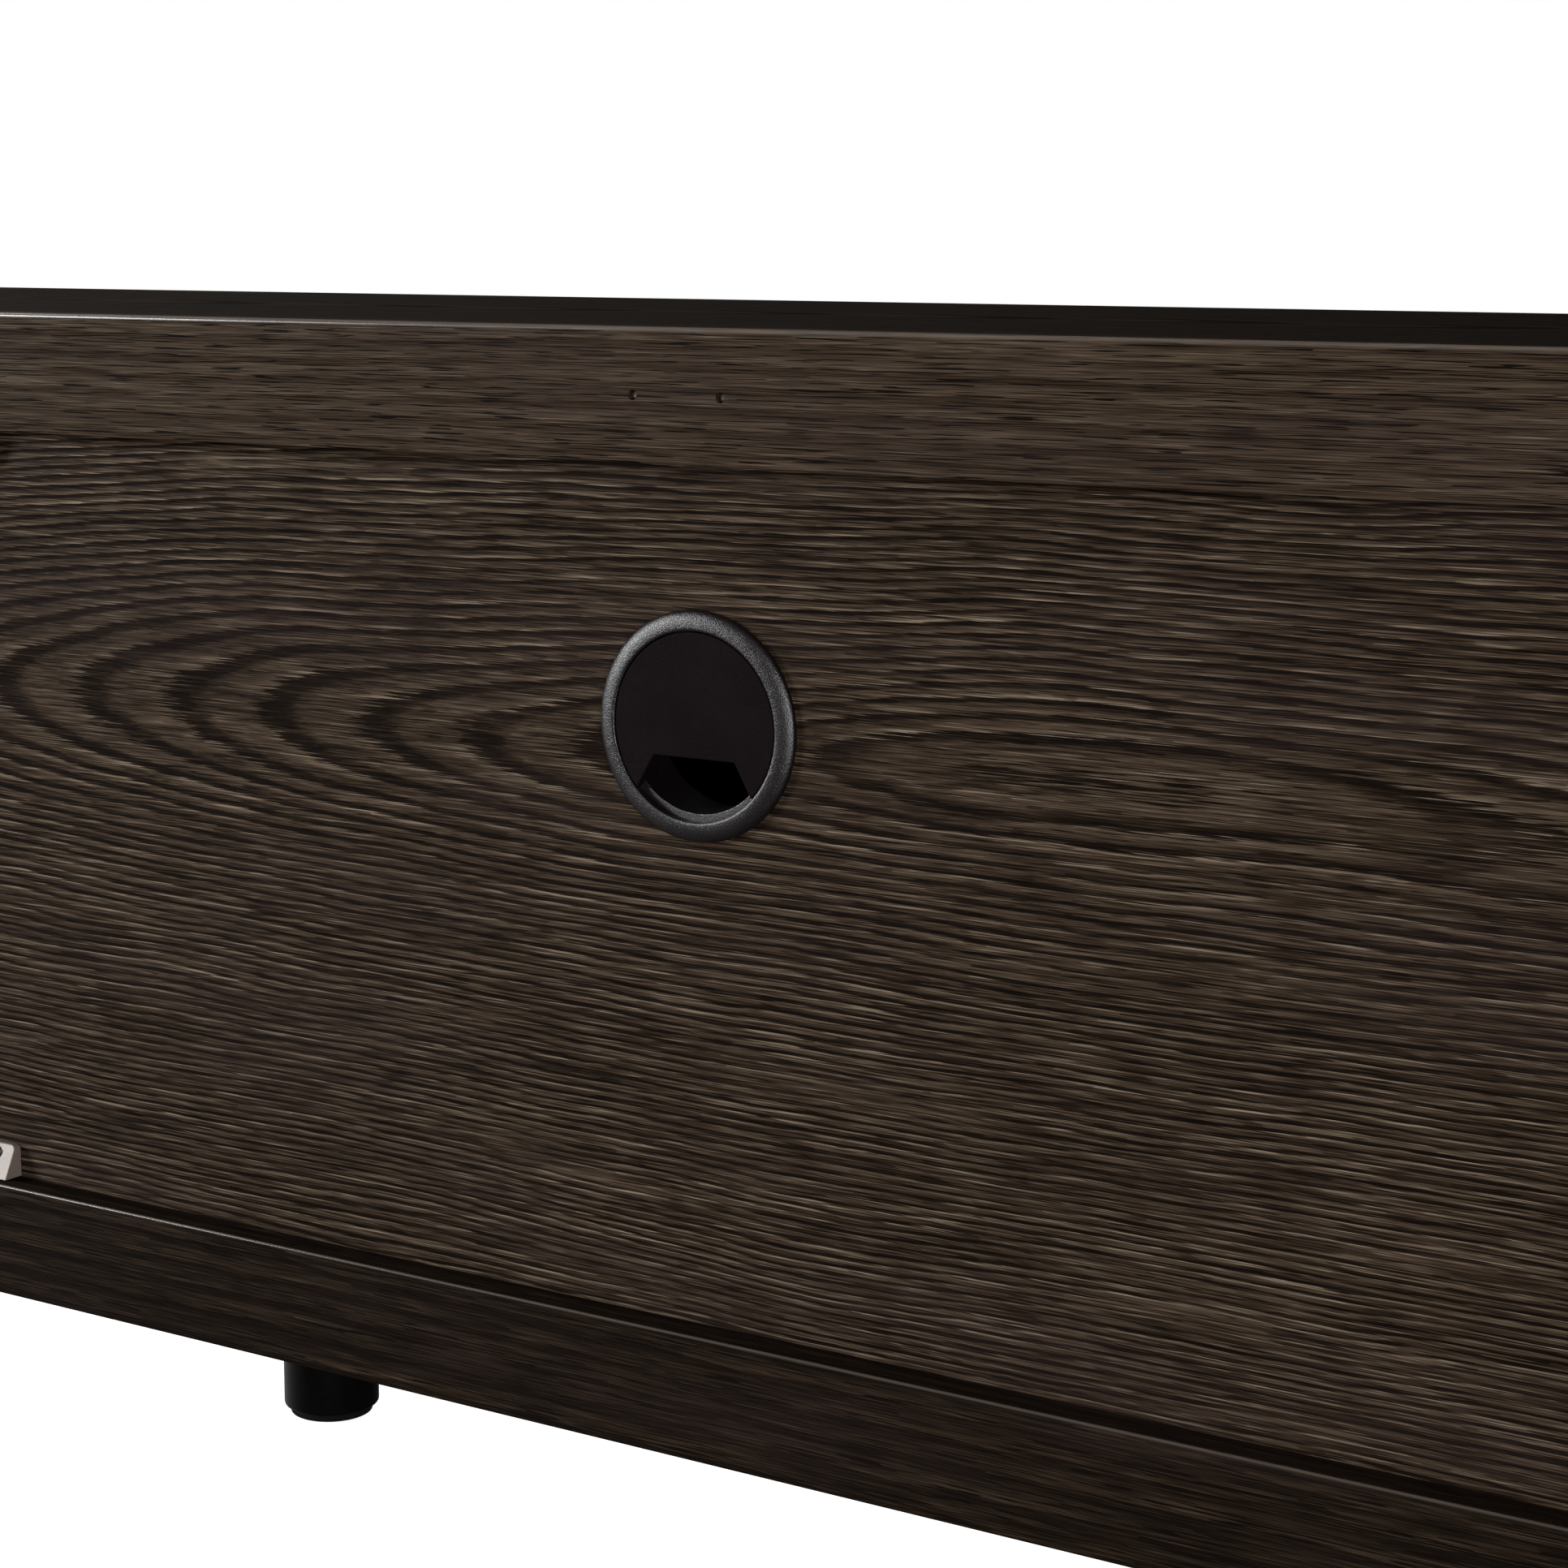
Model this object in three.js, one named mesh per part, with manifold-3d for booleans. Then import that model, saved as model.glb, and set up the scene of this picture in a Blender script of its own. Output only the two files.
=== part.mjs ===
// A low media console in dark oak. A mitred case stands on five round legs and
// holds two bays behind four inset doors; the recessed back has two cable grommets.
// Millimetres: +X runs along the length, -Y is the front and +Z is up.
// The origin is on the floor, under the middle of the case.
import * as THREE from "three";
import { mergeVertices } from "three/addons/utils/BufferGeometryUtils.js";
import Module from "manifold-3d";

const wasm = await Module();
wasm.setup();

// Case
const caseLength = 1250;
const caseDepth = 368;
const caseHeight = 344;
const legHeight = 100;
const boardThickness = 40;
const partitionThickness = 18;
const gap = 0.3; // between pieces that touch or are glued

// Recessed back, behind a strip that frames the rear of the case
const railThickness = 12;
const backThickness = 6;
const backRebate = 7;

// Brads through the top rear rail, a pair at the middle of each bay
const bradSpacing = 31;
const bradLength = 30;
const bradRadius = 0.8;
const bradHeadRadius = 1.25;
const bradHeadThickness = 1.2;
const bradSink = 1;

// Clips that hold the middle of the back to the partition
const clipWidth = 14;
const clipHeight = 12;
const clipDepth = 8;
const clipTopDepth = 2.5;
const clipScrewDrop = 3.3;
const screwRadius = 1.1;
const screwHeadRadius = 1.6;
const screwHeadThickness = 1.2;
const screwLength = 22;

// Cable grommets
const grommetDrop = 118.4; // from the top of the case to the grommet's centre
const spigotRadius = 30;
const spigotLength = 18;
const spigotWall = 3.5;
const flangeWidth = 5; // beyond the spigot
const flangeEdge = 1.2; // the straight part of the flange's rim
const flangeHeight = 3.4;
const seatWidth = 2; // the cap's edge beyond the bore
const seatHeight = 0.4;
const capClearance = 0.4;
const capThickness = 2.3;
const skirtLength = 5;
const skirtWall = 1.6;
const notchWidth = 29;
const notchChord = 41;
const notchDrop = 9.5; // from the cap's centre to the top of the notch

// Doors on pivot pins
const doorThickness = 20;
const doorSetback = 14;
const doorGap = 2;
const pivotInset = 12; // from the door's hinge edge to the pin
const pivotDepth = 6; // from the door's front to the pin
const pinRadius = 3;
const pinEmbed = 10;
const collarRadius = 6;
const knobRadius = 7;
const knobNeckRadius = 4;
const knobFrontGap = 1; // from the knob's face to the front of the case
const knobHeadLength = 7;
const knobInset = 25; // from the door's free edge
const knobDrop = 70; // from the door's top
const studRadius = 2;
const studLength = 14;

// Magnetic catches
const catchWidth = 46;
const catchDepth = 16;
const catchHeight = 11;
const magnetRadius = 4;
const magnetSpacing = 24;
const catchGap = 0.5;
const magnetStand = 1;

// Shelves
const shelfThickness = 18;
const shelfRise = 122; // from the bay's floor to the underside
const shelfFrontGap = 25;
const shelfSideGap = 1;
const shelfCableGap = 6;
const shelfPinRadius = 2.5;
const shelfPinWall = 2; // wood left between the pins on both sides of the partition
const shelfPinReach = 8;
const shelfPinInset = 37;

// Legs
const legRadius = 19;
const legInset = 70; // from the case's outer faces to a corner leg's centre
const legChamfer = 1;
const padRadius = 16.5;
const padThickness = 3;
const padStemRadius = 2;
const padStemLength = 10;
const legStudRadius = 4;
const legStudLength = 25;

// Levels and planes, in the case's own frame: its underside is at zero
const halfLength = caseLength / 2;
const innerHalf = halfLength - boardThickness;
const halfPartition = partitionThickness / 2;
const bayFloor = boardThickness;
const bayCeiling = caseHeight - boardThickness;
const bayWidth = innerHalf - halfPartition;
const bayCentre = (innerHalf + halfPartition) / 2;
const frontFace = -caseDepth / 2;
const rearFace = caseDepth / 2;
const slabRear = rearFace - railThickness;
const backFront = slabRear - backThickness;
const doorFront = frontFace + doorSetback;
const doorRear = doorFront + doorThickness;
const doorWidth = (bayWidth - 3 * doorGap) / 2;
const doorHeight = bayCeiling - bayFloor - 2 * doorGap;
const pivotY = doorFront + pivotDepth;
const knobReach = doorSetback - knobFrontGap;
const flangeRadius = spigotRadius + flangeWidth;
const boreRadius = spigotRadius - spigotWall;
const capRadius = boreRadius + seatWidth;
const grommetLevel = caseHeight - grommetDrop;
const shelfFront = doorRear + shelfFrontGap;
const shelfRear = slabRear - spigotLength - shelfCableGap;
const shelfLevel = bayFloor + shelfRise;
const shelfPinEmbed = halfPartition - shelfPinWall;
const shelfPinLevel = shelfLevel - shelfPinRadius - gap;
const shelfPinRows = [shelfFront + shelfPinInset, shelfRear - shelfPinInset];
const bradLevel = caseHeight - boardThickness / 2;
const bradPlaces = [-1, 1].flatMap((bay) =>
  [-1, 1].map((side) => bay * bayCentre + (side * bradSpacing) / 2),
);
const legPlaces = {
  front_left: [-halfLength + legInset, frontFace + legInset],
  front_right: [halfLength - legInset, frontFace + legInset],
  rear_left: [-halfLength + legInset, rearFace - legInset],
  rear_right: [halfLength - legInset, rearFace - legInset],
  centre: [0, 0],
};

// Each door's pin is beside a wall; "opens" points from the pin along the door.
const doors = {
  left_outer: { wall: -innerHalf, opens: 1 },
  left_inner: { wall: -halfPartition, opens: -1 },
  right_inner: { wall: halfPartition, opens: 1 },
  right_outer: { wall: innerHalf, opens: -1 },
};
for (const door of Object.values(doors)) {
  door.pivotX = door.wall + door.opens * (doorGap + pivotInset);
}

const finishes = {
  oak: { color: 0x41382f, roughness: 0.55, metalness: 0 },
  veneer: { color: 0x3c342e, roughness: 0.6, metalness: 0 },
  lacquer: { color: 0x0e0c0c, roughness: 0.18, metalness: 0 },
  blackPlastic: { color: 0x161213, roughness: 0.45, metalness: 0 },
  greyPlastic: { color: 0xb8aeaa, roughness: 0.4, metalness: 0 },
  steel: { color: 0x9a9a9c, roughness: 0.35, metalness: 1 },
  blackSteel: { color: 0x151415, roughness: 0.4, metalness: 1 },
  rubber: { color: 0x1a1a1a, roughness: 0.9, metalness: 0 },
};

// Geometry helpers

function toSolid(geometry) {
  const bare = geometry.clone();
  bare.deleteAttribute("normal");
  bare.deleteAttribute("uv");
  const merged = mergeVertices(bare, 1e-4);
  return new wasm.Manifold(
    new wasm.Mesh({
      numProp: 3,
      vertProperties: merged.attributes.position.array,
      triVerts: new Uint32Array(merged.index.array),
    }),
  );
}

function toGeometry(solid) {
  const { vertProperties, triVerts } = solid.getMesh();
  const indexed = new THREE.BufferGeometry();
  indexed.setAttribute("position", new THREE.BufferAttribute(vertProperties, 3));
  indexed.setIndex(new THREE.BufferAttribute(triVerts, 1));
  const flat = indexed.toNonIndexed();
  flat.computeVertexNormals();
  return flat;
}

function cut(geometry, tools) {
  return toGeometry(tools.reduce((solid, tool) => solid.subtract(toSolid(tool)), toSolid(geometry)));
}

function join(first, ...others) {
  return toGeometry(others.reduce((solid, other) => solid.add(toSolid(other)), toSolid(first)));
}

function block([x0, x1], [y0, y1], [z0, z1]) {
  const box = new THREE.BoxGeometry(x1 - x0, y1 - y0, z1 - z0);
  return box.translate((x0 + x1) / 2, (y0 + y1) / 2, (z0 + z1) / 2);
}

// A round rod from one point for a length along +X, +Y or +Z.
function rod(axis, radius, [x, y, z], length, sides = 12) {
  const cylinder = new THREE.CylinderGeometry(radius, radius, length, sides);
  cylinder.translate(0, length / 2, 0);
  if (axis === "x") cylinder.rotateZ(-Math.PI / 2);
  if (axis === "z") cylinder.rotateX(Math.PI / 2);
  return cylinder.translate(x, y, z);
}

// A turned piece about its Y axis, from [radius, height] pairs.
function turned(profile, sides) {
  return new THREE.LatheGeometry(
    profile.map(([radius, height]) => new THREE.Vector2(radius, height)),
    sides,
  );
}

// An outline of [x, z] corners, carried from yFront to yRear.
function prism(corners, yFront, yRear) {
  const outline = new THREE.Shape(corners.map(([x, z]) => new THREE.Vector2(x, z)));
  const body = new THREE.ExtrudeGeometry(outline, { depth: yRear - yFront, bevelEnabled: false });
  return body.rotateX(Math.PI / 2).translate(0, yRear, 0);
}

const mediaConsole = new THREE.Group();
const caseFrame = new THREE.Group();
caseFrame.position.z = legHeight;
mediaConsole.add(caseFrame);

function addPiece(parent, name, geometry, finish, x = 0, y = 0, z = 0) {
  const mesh = new THREE.Mesh(geometry, new THREE.MeshStandardMaterial(finishes[finish]));
  mesh.name = name;
  mesh.position.set(x, y, z);
  parent.add(mesh);
  return mesh;
}

// The case: four boards with mitred corners, and strips of the same outline at the rear

function mitredOutlines() {
  const shift = gap / Math.SQRT2; // opens each mitre by the gap
  const across = (outer, inner) => [
    [-halfLength + shift, outer],
    [-innerHalf + shift, inner],
    [innerHalf - shift, inner],
    [halfLength - shift, outer],
  ];
  const upright = (side) => [
    [side * halfLength, shift],
    [side * halfLength, caseHeight - shift],
    [side * innerHalf, bayCeiling - shift],
    [side * innerHalf, bayFloor + shift],
  ];
  return {
    top: across(caseHeight, bayCeiling),
    bottom: across(0, bayFloor),
    left: upright(-1),
    right: upright(1),
  };
}

function pivotHoles(z) {
  return Object.values(doors).map(({ pivotX }) =>
    rod("z", pinRadius + gap, [pivotX, pivotY, z - gap], pinEmbed + 2 * gap),
  );
}

function shelfPinHoles(x) {
  return shelfPinRows.map((y) =>
    rod("x", shelfPinRadius + gap, [x - gap, y, shelfPinLevel], shelfPinEmbed + 2 * gap),
  );
}

function bradHoles() {
  return bradPlaces.map((x) => {
    const tip = slabRear - bradLength;
    return rod("y", bradRadius + gap, [x, tip, bradLevel], bradLength + gap);
  });
}

function bradHeadHoles() {
  return bradPlaces.map((x) =>
    rod("y", bradHeadRadius + gap, [x, slabRear, bradLevel], railThickness + gap),
  );
}

function studHoles() {
  return Object.values(legPlaces).map(([x, y]) =>
    rod("z", legStudRadius + gap, [x, y, -gap], legStudLength + 2 * gap),
  );
}

function addCase() {
  const outlines = mitredOutlines();
  const backSeat = block(
    [-innerHalf - backRebate, innerHalf + backRebate],
    [backFront - gap, slabRear + gap],
    [bayFloor - backRebate, bayCeiling + backRebate],
  );
  const holes = {
    top: [...pivotHoles(bayCeiling), ...bradHoles()],
    bottom: [...pivotHoles(bayFloor - pinEmbed), ...studHoles()],
    left: shelfPinHoles(-innerHalf - shelfPinEmbed),
    right: shelfPinHoles(innerHalf),
  };
  const names = { top: "top_board", bottom: "bottom_board", left: "side_left", right: "side_right" };
  for (const [side, outline] of Object.entries(outlines)) {
    const board = cut(prism(outline, frontFace, slabRear), [backSeat, ...holes[side]]);
    addPiece(caseFrame, names[side], board, "oak");
  }
  for (const [side, outline] of Object.entries(outlines)) {
    const strip = prism(outline, slabRear + gap, rearFace);
    const nailed = side === "top" ? cut(strip, bradHeadHoles()) : strip;
    addPiece(caseFrame, `rear_rail_${side}`, nailed, "oak");
  }
}

function addBrads() {
  const brad = turned(
    [
      [0, 0],
      [bradRadius, 0],
      [bradRadius, bradLength - bradHeadThickness],
      [bradHeadRadius, bradLength - bradHeadThickness],
      [bradHeadRadius, bradLength],
      [0, bradLength],
    ],
    10,
  );
  bradPlaces.forEach((x, index) => {
    const tip = rearFace - bradSink - bradLength;
    addPiece(caseFrame, `brad_${index + 1}`, brad.clone(), "steel", x, tip, bradLevel);
  });
}

// The partition carries shelf pins on both faces and takes the back clips' screws.
const clipScrewLevels = {
  bottom: bayFloor + clipHeight - clipScrewDrop,
  top: bayCeiling - clipHeight + clipScrewDrop,
};
const clipScrewTail = slabRear + gap + clipTopDepth - screwLength;

function screwHoles() {
  return Object.values(clipScrewLevels).map((z) =>
    rod("y", screwRadius + gap, [0, clipScrewTail - gap, z], screwLength),
  );
}

function addPartition() {
  const board = block(
    [-halfPartition, halfPartition],
    [doorFront, backFront - gap],
    [bayFloor + gap, bayCeiling - gap],
  );
  const holes = [
    ...shelfPinHoles(-halfPartition),
    ...shelfPinHoles(halfPartition - shelfPinEmbed),
    ...screwHoles(),
  ];
  addPiece(caseFrame, "partition", cut(board, holes), "oak");
}

function addBack() {
  const reach = backRebate - gap;
  const panel = block(
    [-innerHalf - reach, innerHalf + reach],
    [backFront, slabRear],
    [bayFloor - reach, bayCeiling + reach],
  );
  const grommetHoles = [-1, 1].map((side) => {
    const start = [side * bayCentre, backFront - gap, grommetLevel];
    return rod("y", spigotRadius + gap, start, backThickness + 2 * gap, 48);
  });
  addPiece(caseFrame, "back_panel", cut(panel, [...grommetHoles, ...screwHoles()]), "veneer");
}

// A clip is a wedge in the corner between the back and the rail: "up" is the way its height runs.
function addClip(place, ledge, up) {
  const rear = slabRear + gap;
  const side = new THREE.Shape([
    new THREE.Vector2(0, gap),
    new THREE.Vector2(clipDepth, gap),
    new THREE.Vector2(clipTopDepth, clipHeight),
    new THREE.Vector2(0, clipHeight),
  ]);
  const wedge = new THREE.ExtrudeGeometry(side, { depth: clipWidth, bevelEnabled: false });
  wedge.translate(0, 0, -clipWidth / 2);
  wedge.rotateX(Math.PI / 2).rotateZ(Math.PI / 2); // the height along +Z, the depth along +Y
  if (up < 0) wedge.rotateY(Math.PI);
  wedge.translate(0, rear, ledge);
  const level = clipScrewLevels[place];
  const hole = rod("y", screwHeadRadius + gap, [0, rear - gap, level], clipDepth + 2 * gap);
  addPiece(caseFrame, `back_clip_${place}`, cut(wedge, [hole]), "greyPlastic");

  const screw = turned(
    [
      [0, 0],
      [screwRadius, 3],
      [screwRadius, screwLength - screwHeadThickness],
      [screwHeadRadius, screwLength - screwHeadThickness],
      [screwHeadRadius, screwLength],
      [0, screwLength],
    ],
    12,
  );
  addPiece(caseFrame, `back_clip_screw_${place}`, screw, "steel", 0, clipScrewTail, level);
}

// Cable grommets: a flanged ring pressed through the back, and a cap that turns in it

function ringGeometry() {
  const lip = capRadius + capClearance;
  const crown = lip + (flangeRadius - lip) / 3;
  const steps = 4;
  const dome = Array.from({ length: steps + 1 }, (_, step) => {
    const angle = (step / steps) * (Math.PI / 2);
    return [
      crown + (flangeRadius - crown) * Math.cos(angle),
      flangeEdge + (flangeHeight - flangeEdge) * Math.sin(angle),
    ];
  });
  return turned(
    [
      [boreRadius, -spigotLength],
      [spigotRadius, -spigotLength],
      [spigotRadius, gap],
      [flangeRadius, gap],
      ...dome,
      [lip, flangeHeight - gap],
      [lip, seatHeight],
      [boreRadius, seatHeight],
      [boreRadius, -spigotLength],
    ],
    48,
  );
}

function capGeometry() {
  const under = seatHeight + gap;
  const disc = rod("y", capRadius, [0, under, 0], capThickness, 48);
  const skirtOuter = boreRadius - 2 * gap;
  const skirtInner = skirtOuter - skirtWall;
  const skirt = turned(
    [
      [skirtInner, -skirtLength],
      [skirtOuter, -skirtLength],
      [skirtOuter, under + capThickness / 2],
      [skirtInner, under + capThickness / 2],
      [skirtInner, -skirtLength],
    ],
    48,
  );
  const chordDrop = Math.sqrt(capRadius ** 2 - (notchChord / 2) ** 2);
  const flare = (notchChord - notchWidth) / 2 / (chordDrop - notchDrop);
  const end = capRadius + 2;
  const endHalf = notchWidth / 2 + flare * (end - notchDrop);
  const notch = prism(
    [
      [-endHalf, -end],
      [endHalf, -end],
      [notchWidth / 2, -notchDrop],
      [-notchWidth / 2, -notchDrop],
    ],
    -skirtLength - 1,
    under + capThickness + 1,
  );
  return cut(join(disc, skirt), [notch]);
}

function addGrommets() {
  for (const [name, side] of [["left", -1], ["right", 1]]) {
    const frame = new THREE.Group();
    frame.position.set(side * bayCentre, slabRear, grommetLevel);
    caseFrame.add(frame);
    addPiece(frame, `grommet_ring_${name}`, ringGeometry(), "blackPlastic");
    addPiece(frame, `grommet_cap_${name}`, capGeometry(), "blackPlastic");
  }
}

// Doors, each in a group whose origin is on its pivot axis at the door's underside

function doorGeometry(opens) {
  const ends = [-opens * pivotInset, opens * (doorWidth - pivotInset)].sort((a, b) => a - b);
  const front = -pivotDepth;
  const leaf = block(ends, [front, front + doorThickness], [0, doorHeight]);
  const pinHoles = [-gap, doorHeight - pinEmbed].map((z) =>
    rod("z", pinRadius + gap, [0, 0, z], pinEmbed + gap),
  );
  const [knobX, knobZ] = knobPlace(opens);
  const studHole = rod("y", studRadius + gap, [knobX, front - gap, knobZ], studLength + 2 * gap);
  return cut(leaf, [...pinHoles, studHole]);
}

function knobPlace(opens) {
  return [opens * (doorWidth - pivotInset - knobInset), doorHeight - knobDrop];
}

function knobGeometry() {
  const neck = knobReach - knobHeadLength;
  return turned(
    [
      [0, -studLength],
      [studRadius, -studLength],
      [studRadius, gap],
      [knobNeckRadius, gap],
      [knobNeckRadius, neck],
      [knobRadius, neck + 1],
      [knobRadius, knobReach - 1],
      [knobRadius - 1, knobReach],
      [0, knobReach],
    ],
    16,
  ).rotateX(Math.PI);
}

// A pin is half in the board and half in the door, with a collar in the gap between them.
function pivotPinGeometry() {
  const shaft = pinEmbed - gap;
  return turned(
    [
      [0, -shaft],
      [pinRadius, -shaft],
      [pinRadius, gap],
      [collarRadius, gap],
      [collarRadius, doorGap - gap],
      [pinRadius, doorGap - gap],
      [pinRadius, doorGap + shaft],
      [0, doorGap + shaft],
    ],
    12,
  ).rotateX(Math.PI / 2);
}

function addDoors() {
  for (const [name, { pivotX, opens }] of Object.entries(doors)) {
    const frame = new THREE.Group();
    frame.position.set(pivotX, pivotY, bayFloor + doorGap);
    caseFrame.add(frame);
    addPiece(frame, `door_${name}`, doorGeometry(opens), "oak");
    const [knobX, knobZ] = knobPlace(opens);
    addPiece(frame, `knob_${name}`, knobGeometry(), "blackSteel", knobX, -pivotDepth, knobZ);
    const pin = pivotPinGeometry();
    addPiece(caseFrame, `pivot_${name}_bottom`, pin, "steel", pivotX, pivotY, bayFloor);
    addPiece(caseFrame, `pivot_${name}_top`, pin.clone(), "steel", pivotX, pivotY, bayCeiling - doorGap);
  }
}

function addCatches() {
  const front = catchGap + magnetStand;
  const body = block(
    [-catchWidth / 2, catchWidth / 2],
    [front, front + catchDepth],
    [-catchHeight, -gap],
  );
  const magnets = [-1, 1].map((side) =>
    rod("y", magnetRadius, [(side * magnetSpacing) / 2, catchGap, -catchHeight / 2], catchDepth / 2),
  );
  const catchBody = join(body, ...magnets);
  addPiece(caseFrame, "door_catch_left", catchBody, "blackPlastic", -bayCentre, doorRear, bayCeiling);
  addPiece(caseFrame, "door_catch_right", catchBody.clone(), "blackPlastic", bayCentre, doorRear, bayCeiling);
}

// Shelves on loose pins

function addShelves() {
  const half = bayWidth / 2 - shelfSideGap;
  const pin = turned(
    [
      [0, -shelfPinEmbed],
      [shelfPinRadius, -shelfPinEmbed],
      [shelfPinRadius, shelfPinReach],
      [0, shelfPinReach],
    ],
    10,
  ).rotateZ(-Math.PI / 2);
  for (const [name, side] of [["left", -1], ["right", 1]]) {
    const board = block([-half, half], [shelfFront, shelfRear], [0, shelfThickness]);
    addPiece(caseFrame, `shelf_${name}`, board, "veneer", side * bayCentre, 0, shelfLevel);
    for (const [row, y] of [["front", shelfPinRows[0]], ["rear", shelfPinRows[1]]]) {
      for (const [place, wall, points] of [
        ["outer", side * innerHalf, -side],
        ["inner", side * halfPartition, side],
      ]) {
        const peg = addPiece(
          caseFrame, `shelf_pin_${name}_${row}_${place}`, pin.clone(), "steel", wall, y, shelfPinLevel,
        );
        if (points < 0) peg.rotation.z = Math.PI;
      }
    }
  }
}

// Legs: a turned leg screws up into the bottom board, and a pad is pressed into its foot

function legGeometry() {
  const foot = padThickness + gap;
  const head = legHeight - gap;
  const recess = foot + padStemLength + gap;
  const stemHole = padStemRadius + gap;
  return turned(
    [
      [0, recess],
      [stemHole, recess],
      [stemHole, foot],
      [legRadius - legChamfer, foot],
      [legRadius, foot + legChamfer],
      [legRadius, head],
      [legStudRadius, head],
      [legStudRadius, legHeight + legStudLength],
      [0, legHeight + legStudLength],
    ],
    32,
  ).rotateX(Math.PI / 2);
}

function padGeometry() {
  return turned(
    [
      [0, 0],
      [padRadius - 1, 0],
      [padRadius, 1],
      [padRadius, padThickness],
      [padStemRadius, padThickness],
      [padStemRadius, padThickness + padStemLength],
      [0, padThickness + padStemLength],
    ],
    16,
  ).rotateX(Math.PI / 2);
}

function addLegs() {
  for (const [name, [x, y]] of Object.entries(legPlaces)) {
    addPiece(mediaConsole, `leg_${name}`, legGeometry(), "lacquer", x, y);
    addPiece(mediaConsole, `pad_${name}`, padGeometry(), "rubber", x, y);
  }
}

addCase();
addBrads();
addPartition();
addBack();
addClip("bottom", bayFloor, 1);
addClip("top", bayCeiling, -1);
addGrommets();
addDoors();
addCatches();
addShelves();
addLegs();

export default mediaConsole;
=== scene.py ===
import bpy
import math
from mathutils import Matrix, Vector


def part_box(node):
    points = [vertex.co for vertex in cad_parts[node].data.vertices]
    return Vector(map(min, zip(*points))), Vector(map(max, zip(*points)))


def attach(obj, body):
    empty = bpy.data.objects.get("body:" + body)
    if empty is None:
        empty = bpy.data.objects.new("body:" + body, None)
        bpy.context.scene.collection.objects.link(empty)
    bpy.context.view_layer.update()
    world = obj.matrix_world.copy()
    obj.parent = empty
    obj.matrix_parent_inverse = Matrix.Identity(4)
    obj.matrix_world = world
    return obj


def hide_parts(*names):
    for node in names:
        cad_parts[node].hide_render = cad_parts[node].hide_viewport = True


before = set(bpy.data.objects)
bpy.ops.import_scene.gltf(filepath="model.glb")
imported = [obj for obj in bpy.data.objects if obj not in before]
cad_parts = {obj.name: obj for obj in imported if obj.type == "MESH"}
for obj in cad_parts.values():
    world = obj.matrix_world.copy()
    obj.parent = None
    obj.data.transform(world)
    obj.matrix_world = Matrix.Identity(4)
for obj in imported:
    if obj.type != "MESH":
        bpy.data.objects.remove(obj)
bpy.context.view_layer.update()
print("frame loaded:", len(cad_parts), "nodes")

mm = 0.001

view = {
    "place": (-0.8476, 0.9806, 0.4700),
    "yaw": 32.758,     # degrees from -Y towards +X
    "pitch": 9.392,    # degrees down
    "roll": -0.264,
    "lens": 75.96,
    "sensor": 36.0,
}


def addCamera():
    data = bpy.data.cameras.new("camera")
    data.lens = view["lens"]
    data.sensor_width = view["sensor"]
    data.clip_start = 0.01
    camera = bpy.data.objects.new("camera", data)
    yaw, pitch, roll = (math.radians(view[key]) for key in ("yaw", "pitch", "roll"))
    level = math.cos(pitch)
    forward = Vector((math.sin(yaw) * level, -math.cos(yaw) * level, -math.sin(pitch)))
    right = forward.cross(Vector((0, 0, 1))).normalized()
    up = right.cross(forward)
    across = right * math.cos(roll) - up * math.sin(roll)
    above = up * math.cos(roll) + right * math.sin(roll)
    turn = Matrix((across, above, -forward)).transposed()
    camera.matrix_world = Matrix.Translation(view["place"]) @ turn.to_4x4()
    bpy.context.scene.collection.objects.link(camera)
    bpy.context.scene.camera = camera


addCamera()
print("camera set")


# Shading: a Wire is a socket that takes part in sums, and a Desk adds every node.

class Wire:
    def __init__(self, desk, socket):
        self.desk = desk
        self.socket = socket

    def maths(self, operation, *others):
        return self.desk.add("ShaderNodeMath", {"operation": operation}, [self, *others])

    def __add__(self, other):
        return self.maths("ADD", other)

    __radd__ = __add__

    def __sub__(self, other):
        return self.maths("SUBTRACT", other)

    def __rsub__(self, other):
        return self.maths("MULTIPLY_ADD", -1.0, other)

    def __mul__(self, other):
        return self.maths("MULTIPLY", other)

    __rmul__ = __mul__

    def __truediv__(self, other):
        return self.maths("DIVIDE", other)

    def __abs__(self):
        return self.maths("ABSOLUTE")

    def root(self):
        return self.maths("SQRT")

    def fraction(self):
        return self.maths("FRACT")

    def band(self, low, high):
        # smooth 0 to 1 between two values; a low above the high turns it round
        settings = {"interpolation_type": "SMOOTHSTEP"}
        sockets = {"Value": self, "From Min": low, "From Max": high}
        return self.desk.add("ShaderNodeMapRange", settings, sockets)


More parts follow.
